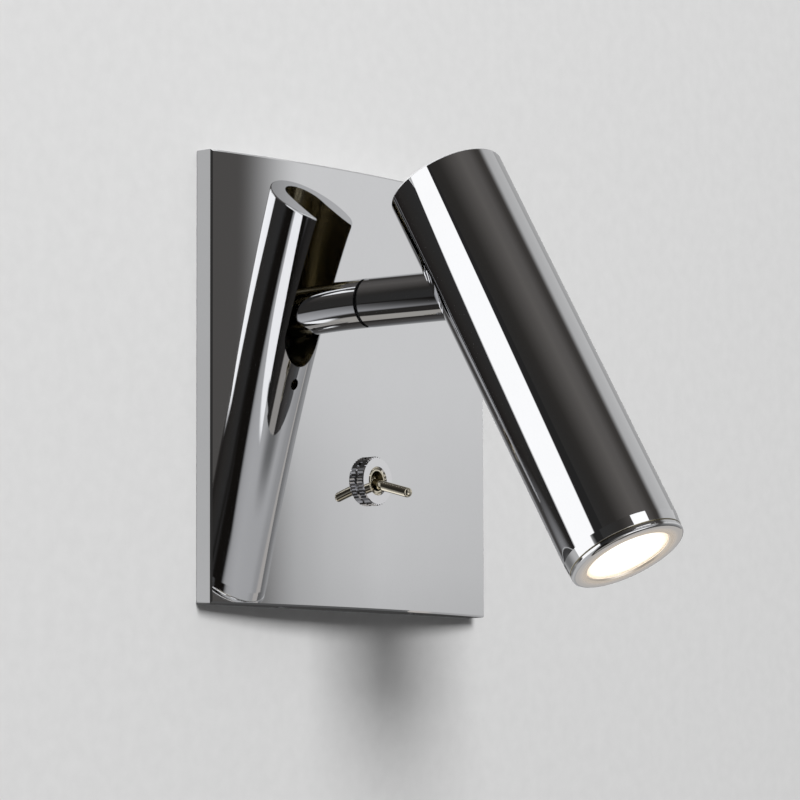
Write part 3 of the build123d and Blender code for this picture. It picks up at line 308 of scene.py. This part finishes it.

# In the tube's bore the chrome is painted dark brown and dull: painted shade in the hollow.
FINISHES["tube_chrome"] = dict(
    FINISHES["polished_chrome"],
    inside=dict(colour=(0.34, 0.30, 0.20), roughness=0.24, centre=PIVOT, axis=HEAD_AXIS,
                radius=TUBE_BORE_RADIUS, full=SHARP, start=TUBE_START + TUBE_END_SKIN),
)
# Near the lens the bezel is painted pale and warm and gives off a faint light: a painted glow of the lens's
# glare, though the bezel is no lamp.
FINISHES["bezel_chrome"] = dict(
    FINISHES["polished_chrome"],
    inside=dict(colour=(0.98, 0.90, 0.80), roughness=0.36, centre=PIVOT, axis=HEAD_AXIS,
                radius=BEZEL_BORE + BEZEL_GLOW_REACH, full=0.84, start=EVERY_DEPTH,
                glow=(1.0, 0.86, 0.72), glow_strength=0.13),
)
FINISHES["knurl_chrome"] = dict(FINISHES["polished_chrome"], colour=(0.90, 0.90, 0.92), roughness=0.04)
WARM_NICKEL = dict(colour=(0.78, 0.72, 0.58), roughness=0.05, metallic=1.0, mottle=0.03, grain=2000.0,
                   rough_swing=0.01)
# The bushing's bore is painted near black: painted shade down in its mouth.
FINISHES["bushing_nickel"] = dict(
    WARM_NICKEL,
    roughness=0.15,
    inside=dict(colour=(0.12, 0.10, 0.06), roughness=0.25, centre=TOGGLE_PIVOT, axis=BUSHING_AXIS,
                radius=BUSHING_BORE_RADIUS, full=SHARP, start=EVERY_DEPTH),
)
# The lever's ball, down in the bushing's mouth, is painted dark as shade; its shank, which is what lies
# inside, keeps the warm nickel.
FINISHES["shaded_ball_nickel"] = dict(
    WARM_NICKEL,
    colour=(0.20, 0.165, 0.10),
    roughness=0.14,
    inside=dict(colour=WARM_NICKEL["colour"], roughness=WARM_NICKEL["roughness"], centre=TOGGLE_PIVOT,
                axis=LEVER_AXIS, radius=LEVER_RADIUS, full=SHARP, start=EVERY_DEPTH),
)
OWN_FINISH = {
    "head_tube": "tube_chrome",
    "bezel_ring": "bezel_chrome",
    "ring_nut": "knurl_chrome",
    "switch_lever": "shaded_ball_nickel",
    "switch_bushing": "bushing_nickel",
}
materials = {name: finish_of(name, **values) for name, values in FINISHES.items()}
lens_low, lens_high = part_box("front_lens")
materials["lit_lens"] = lit_lens("lit_lens", (lens_low + lens_high) / 2, HEAD_AXIS, BEZEL_BORE)

for entry in frame["record"]["subparts"]:
    mesh = frame["nodes"][entry["node"]].data
    mesh.materials.clear()
    mesh.materials.append(materials[OWN_FINISH.get(entry["node"], entry["material_slot"])])

# ---------------------------------------------------------------- wall behind the lamp
WALL_HALF = 2.5
WALL_Y = 0.2 * MM
WALL_LEAN = 0.6

# What mirrors see on the wall, in metres on it, is all painted light: painted highlight patches, painted
# shadows under the plate, and painted greys from left to right.
# "lean" is x plus a share of z, and "wide" is x without its sign.
PAINTED_HIGHLIGHT_PATCH = {"lean": (-0.285, -0.255), "x": (-0.0575, -0.0600), "z": (-0.080, -0.072)}
PAINTED_HIGHLIGHT_ABOVE = {"z": (0.0535, 0.0550, 0.13, 0.11), "wide": (0.04, 0.03)}
# Painted shadows that the plate and head cast on the wall, seen only in mirrors.
SHADE_UNDER = {"z": (-0.062, -0.055, -0.0522, -0.0528), "wide": (0.068, 0.058)}
SHADE_BELOW = {"z": (-0.105, -0.070, -0.0522, -0.0528), "wide": (0.045, 0.005)}
SHADE_BELOW_SHARE = 0.7
SHADE_DEPTH = 0.9
# A painted lighter, warmer patch of light low on the right of the wall, seen only in mirrors.
FAR_CORNER = {"z": (-0.15, -0.21), "x": (0.14, 0.20)}
FAR_CORNER_COLOUR = (0.50, 0.475, 0.45, 1)
PAINTED_HIGHLIGHT_COLOUR = (1.15, 1.15, 1.15, 1)
# Painted greys of light across the wall from left to right, dark at the far left, seen only in mirrors.
HIGH_WALL_SPAN = (-0.5, 0.5)
HIGH_WALL = greys((-0.5, 0.02), (-0.3, 0.02), (-0.08, 0.46), (0.05, 0.50), (0.06, 0.42), (0.5, 0.38))
LOW_WALL_SPAN = (-1.2, 0.5)
LOW_WALL = greys((-1.2, 0.02), (-0.6, 0.20), (-0.34, 0.40), (-0.08, 0.50), (0.05, 0.47), (0.10, 0.38),
                 (0.5, 0.30))
HIGH_TO_LOW = (-0.020, -0.055)


def wall_paint_and_painted_light():
    """Pale paint with a faint roller texture for the camera and the lamps; mirrors see instead a painted
    picture of the wall's light, with painted highlights and painted shadows.
    """
    material, g = fresh_material("wall_paint_and_painted_light")
    place = g.node("ShaderNodeTexCoord").outputs["Object"]
    stipple = g.node("ShaderNodeTexNoise", {"Vector": place, "Scale": 260.0, "Detail": 4.0}).outputs[0]
    tint = g.ramp(stipple, greys((GRAIN_DARK, 0.755), (GRAIN_LIGHT, 0.785)))
    relief = g.node("ShaderNodeBump", {"Height": stipple, "Strength": 0.05, "Distance": 0.5 * MM})
    paint = g.node("ShaderNodeBsdfDiffuse", {"Color": tint, "Normal": relief.outputs["Normal"]})
    parts = g.node("ShaderNodeSeparateXYZ", {"Vector": place}).outputs
    x, z = parts["X"], parts["Z"]
    spots = {"x": x, "z": z, "lean": g.math("ADD", x, g.math("MULTIPLY", z, WALL_LEAN)),
             "wide": g.math("ABSOLUTE", x)}
    level = g.mix(g.spread(z, *HIGH_TO_LOW), g.along(x, *HIGH_WALL_SPAN, HIGH_WALL),
                  g.along(x, *LOW_WALL_SPAN, LOW_WALL))
    level = g.mix(g.patch(spots, FAR_CORNER), level, FAR_CORNER_COLOUR)
    # Painted highlights: the bright patches that the head's chrome shows as its white stripes.
    pale = g.math("MAXIMUM", g.patch(spots, PAINTED_HIGHLIGHT_PATCH), g.patch(spots, PAINTED_HIGHLIGHT_ABOVE))
    colour = g.mix(pale, level, PAINTED_HIGHLIGHT_COLOUR)
    below = g.math("MULTIPLY", g.patch(spots, SHADE_BELOW), SHADE_BELOW_SHARE)
    shade = g.math("MAXIMUM", g.patch(spots, SHADE_UNDER), below)
    strength = g.math("SUBTRACT", 1.0, g.math("MULTIPLY", shade, SHADE_DEPTH))
    # Mirrors see this painted light as the wall's own glow, not lit by the lamps.
    mirrored = g.node("ShaderNodeEmission", {"Color": colour, "Strength": strength})
    path = g.node("ShaderNodeLightPath")
    facing = g.choose(path.outputs["Is Glossy Ray"], paint.outputs[0], mirrored.outputs[0])
    clear = g.node("ShaderNodeBsdfTransparent").outputs[0]
    behind = g.node("ShaderNodeNewGeometry").outputs["Backfacing"]
    g.node("ShaderNodeOutputMaterial", {"Surface": g.choose(behind, facing, clear)})
    return material


corners = [(-WALL_HALF, 0, -WALL_HALF), (WALL_HALF, 0, -WALL_HALF),
           (WALL_HALF, 0, WALL_HALF), (-WALL_HALF, 0, WALL_HALF)]
wall_mesh = bpy.data.meshes.new("wall")
wall_mesh.from_pydata(corners, [], [(0, 1, 2, 3)])
wall_mesh.materials.append(wall_paint_and_painted_light())
wall = bpy.data.objects.new("wall", wall_mesh)
wall.location = (0, WALL_Y, 0)
bpy.context.scene.collection.objects.link(wall)

# ---------------------------------------------------------------- studio
# What mirrors see of the room, by the direction they look in: x to the right, y into the wall, z up, as
# parts of a direction of length 1. A pale panel stands on the right, with its edge, its greys by height and
# the greys by side that multiply them. The rest is a dark room with lamps and pale bands.
PANEL_EDGE_LOW = (0.50, 0.645)
PANEL_EDGE_HIGH = (0.45, 0.66)
PANEL_EDGE_TURN = (0.20, 0.45)
PANEL_BY_HEIGHT = greys((-1.0, 0.10), (-0.60, 0.12), (-0.38, 0.20), (-0.12, 0.38), (-0.05, 0.34),
                        (0.01, 0.42), (0.058, 0.62), (0.10, 0.67), (0.20, 0.68), (0.40, 0.55), (0.70, 0.46),
                        (1.0, 0.20))
PANEL_BY_SIDE = greys((0.5, 0.58), (0.62, 0.72), (0.70, 0.88), (0.80, 1.0), (1.0, 0.93))
PANEL_EVEN_ABOVE = (0.06, 0.12)
CEILING_BY_SIDE = [
    (-1.0, (0.020, 0.019, 0.018)), (-0.76, (0.030, 0.028, 0.026)), (-0.50, (0.075, 0.070, 0.066)),
    (-0.20, (0.115, 0.108, 0.102)), (0.10, (0.10, 0.094, 0.09)), (0.36, (0.05, 0.046, 0.043)),
    (1.0, (0.04, 0.037, 0.034))]
CEILING_FROM = (0.25, 0.60)
HORIZON_BY_SIDE = [
    (-1.0, grey(0.034)), (-0.50, (0.030, 0.028, 0.026)), (-0.10, (0.018, 0.016, 0.015)),
    (0.20, (0.034, 0.031, 0.029)), (0.45, (0.078, 0.074, 0.071)), (1.0, grey(0.10))]
FRONT = (0.0, -0.1)
DEEP_LEFT = {"x": (-0.5, -0.8), "z": (-0.06, -0.18)}
DEEP_LEFT_COLOUR = (0.008, 0.007, 0.006, 1)
LOW_BAND = {"z": (-0.14, -0.20, -0.60, -0.52), "x": (-0.95, -0.38, 0.45, 0.36), "y": (-0.30, -0.40)}
LEVEL_BAND = {"z": (-0.050, -0.030, 0.070, 0.050), "wide": (0.45, 0.36), "y": (-0.72, -0.78)}
BAND_COLOUR = (0.52, 0.52, 0.53, 1)
FLOOR_GAP = {"x": (-0.34, -0.26, 0.14, 0.08), "z": (-0.66, -0.70), "y": FRONT}
FLOOR_GAP_COLOUR = (0.42, 0.40, 0.37, 1)
LAMPS = [
    {"x": (-0.44, -0.42, 0.10, 0.08), "z": (0.49, 0.50, 0.67, 0.66), "y": FRONT},
    {"x": (-0.55, -0.48, 0.40, 0.20), "z": (0.155, 0.170, 0.30, 0.27), "y": (-0.7, -0.8)},
    {"x": (-0.34, -0.30, 0.34, 0.30), "z": (-0.44, -0.47, -0.70, -0.67), "y": (-0.68, -0.71)},
]
LAMP_COLOUR = (1.2, 1.2, 1.2, 1)
# What lights the wall and the matt pieces, and what the camera sees past the wall.
SKY_BY_HEIGHT = greys((-1.0, 0.02), (-0.2, 0.03), (0.0, 0.09), (0.3, 0.50), (1.0, 0.66))
BACKDROP_COLOUR = (0.70, 0.70, 0.70, 1)


def room_in_mirrors(g, x, y, z):
    """The colour of the room for a ray that has left a mirror."""
    spots = {"x": x, "y": y, "z": z, "wide": g.math("ABSOLUTE", x)}
    horizon = g.mix(g.patch(spots, DEEP_LEFT), g.along(x, -1.0, 1.0, HORIZON_BY_SIDE), DEEP_LEFT_COLOUR)
    bands = g.math("MAXIMUM", g.patch(spots, LOW_BAND), g.patch(spots, LEVEL_BAND))
    horizon = g.mix(bands, horizon, BAND_COLOUR)
    dark_room = g.mix(g.spread(z, *CEILING_FROM), horizon, g.along(x, -1.0, 1.0, CEILING_BY_SIDE))
    slope = g.mix(g.spread(z, *PANEL_EVEN_ABOVE), g.along(x, 0.0, 1.0, PANEL_BY_SIDE), (1, 1, 1, 1))
    panel = g.node(
        "ShaderNodeMix", {0: 1.0, 6: g.along(z, -1.0, 1.0, PANEL_BY_HEIGHT), 7: slope},
        data_type="RGBA", blend_type="MULTIPLY",
    ).outputs[2]
    low_edge, high_edge = g.spread(x, *PANEL_EDGE_LOW), g.spread(x, *PANEL_EDGE_HIGH)
    on_panel = g.mix(g.spread(z, *PANEL_EDGE_TURN), low_edge, high_edge)
    colour = g.mix(on_panel, dark_room, panel)
    colour = g.mix(g.patch(spots, FLOOR_GAP), colour, FLOOR_GAP_COLOUR)
    lamps = g.patch(spots, LAMPS[0])
    for lamp in LAMPS[1:]:
        lamps = g.math("MAXIMUM", lamps, g.patch(spots, lamp))
    return g.mix(lamps, colour, LAMP_COLOUR)


world = bpy.data.worlds.new("studio")
world.use_nodes = True
bpy.context.scene.world = world
g = Graph(world.node_tree)
direction = g.node("ShaderNodeTexCoord").outputs["Generated"]
parts = g.node("ShaderNodeSeparateXYZ", {"Vector": direction}).outputs
mirror_colour = room_in_mirrors(g, parts["X"], parts["Y"], parts["Z"])
sky_colour = g.along(parts["Z"], -1.0, 1.0, SKY_BY_HEIGHT)
path = g.node("ShaderNodeLightPath")
backgrounds = [g.node("ShaderNodeBackground", {"Color": colour, "Strength": 1.0}).outputs[0]
               for colour in (sky_colour, mirror_colour, BACKDROP_COLOUR)]
sky, mirrored, backdrop = backgrounds
away_from_camera = g.choose(path.outputs["Is Glossy Ray"], sky, mirrored)
shown = g.choose(path.outputs["Is Camera Ray"], away_from_camera, backdrop)
g.node("ShaderNodeOutputWorld", {"Surface": shown})

KEY_PLACE = (-0.46, -1.85, 0.92)
KEY_SIZE = 0.85
KEY_WATTS = 34.0
LAMP_ORIGIN = (0, 0, 0)


def soft_light(name, place, target, size, watts):
    """A square studio lamp that points at a place."""
    data = bpy.data.lights.new(name, "AREA")
    data.shape = "SQUARE"
    data.size = size
    data.energy = watts
    lamp = bpy.data.objects.new(name, data)
    lamp.location = place
    lamp.rotation_mode = "QUATERNION"
    lamp.rotation_quaternion = (Vector(target) - Vector(place)).to_track_quat("-Z", "Y")
    lamp.visible_glossy = False
    bpy.context.scene.collection.objects.link(lamp)


soft_light("key", KEY_PLACE, LAMP_ORIGIN, KEY_SIZE, KEY_WATTS)
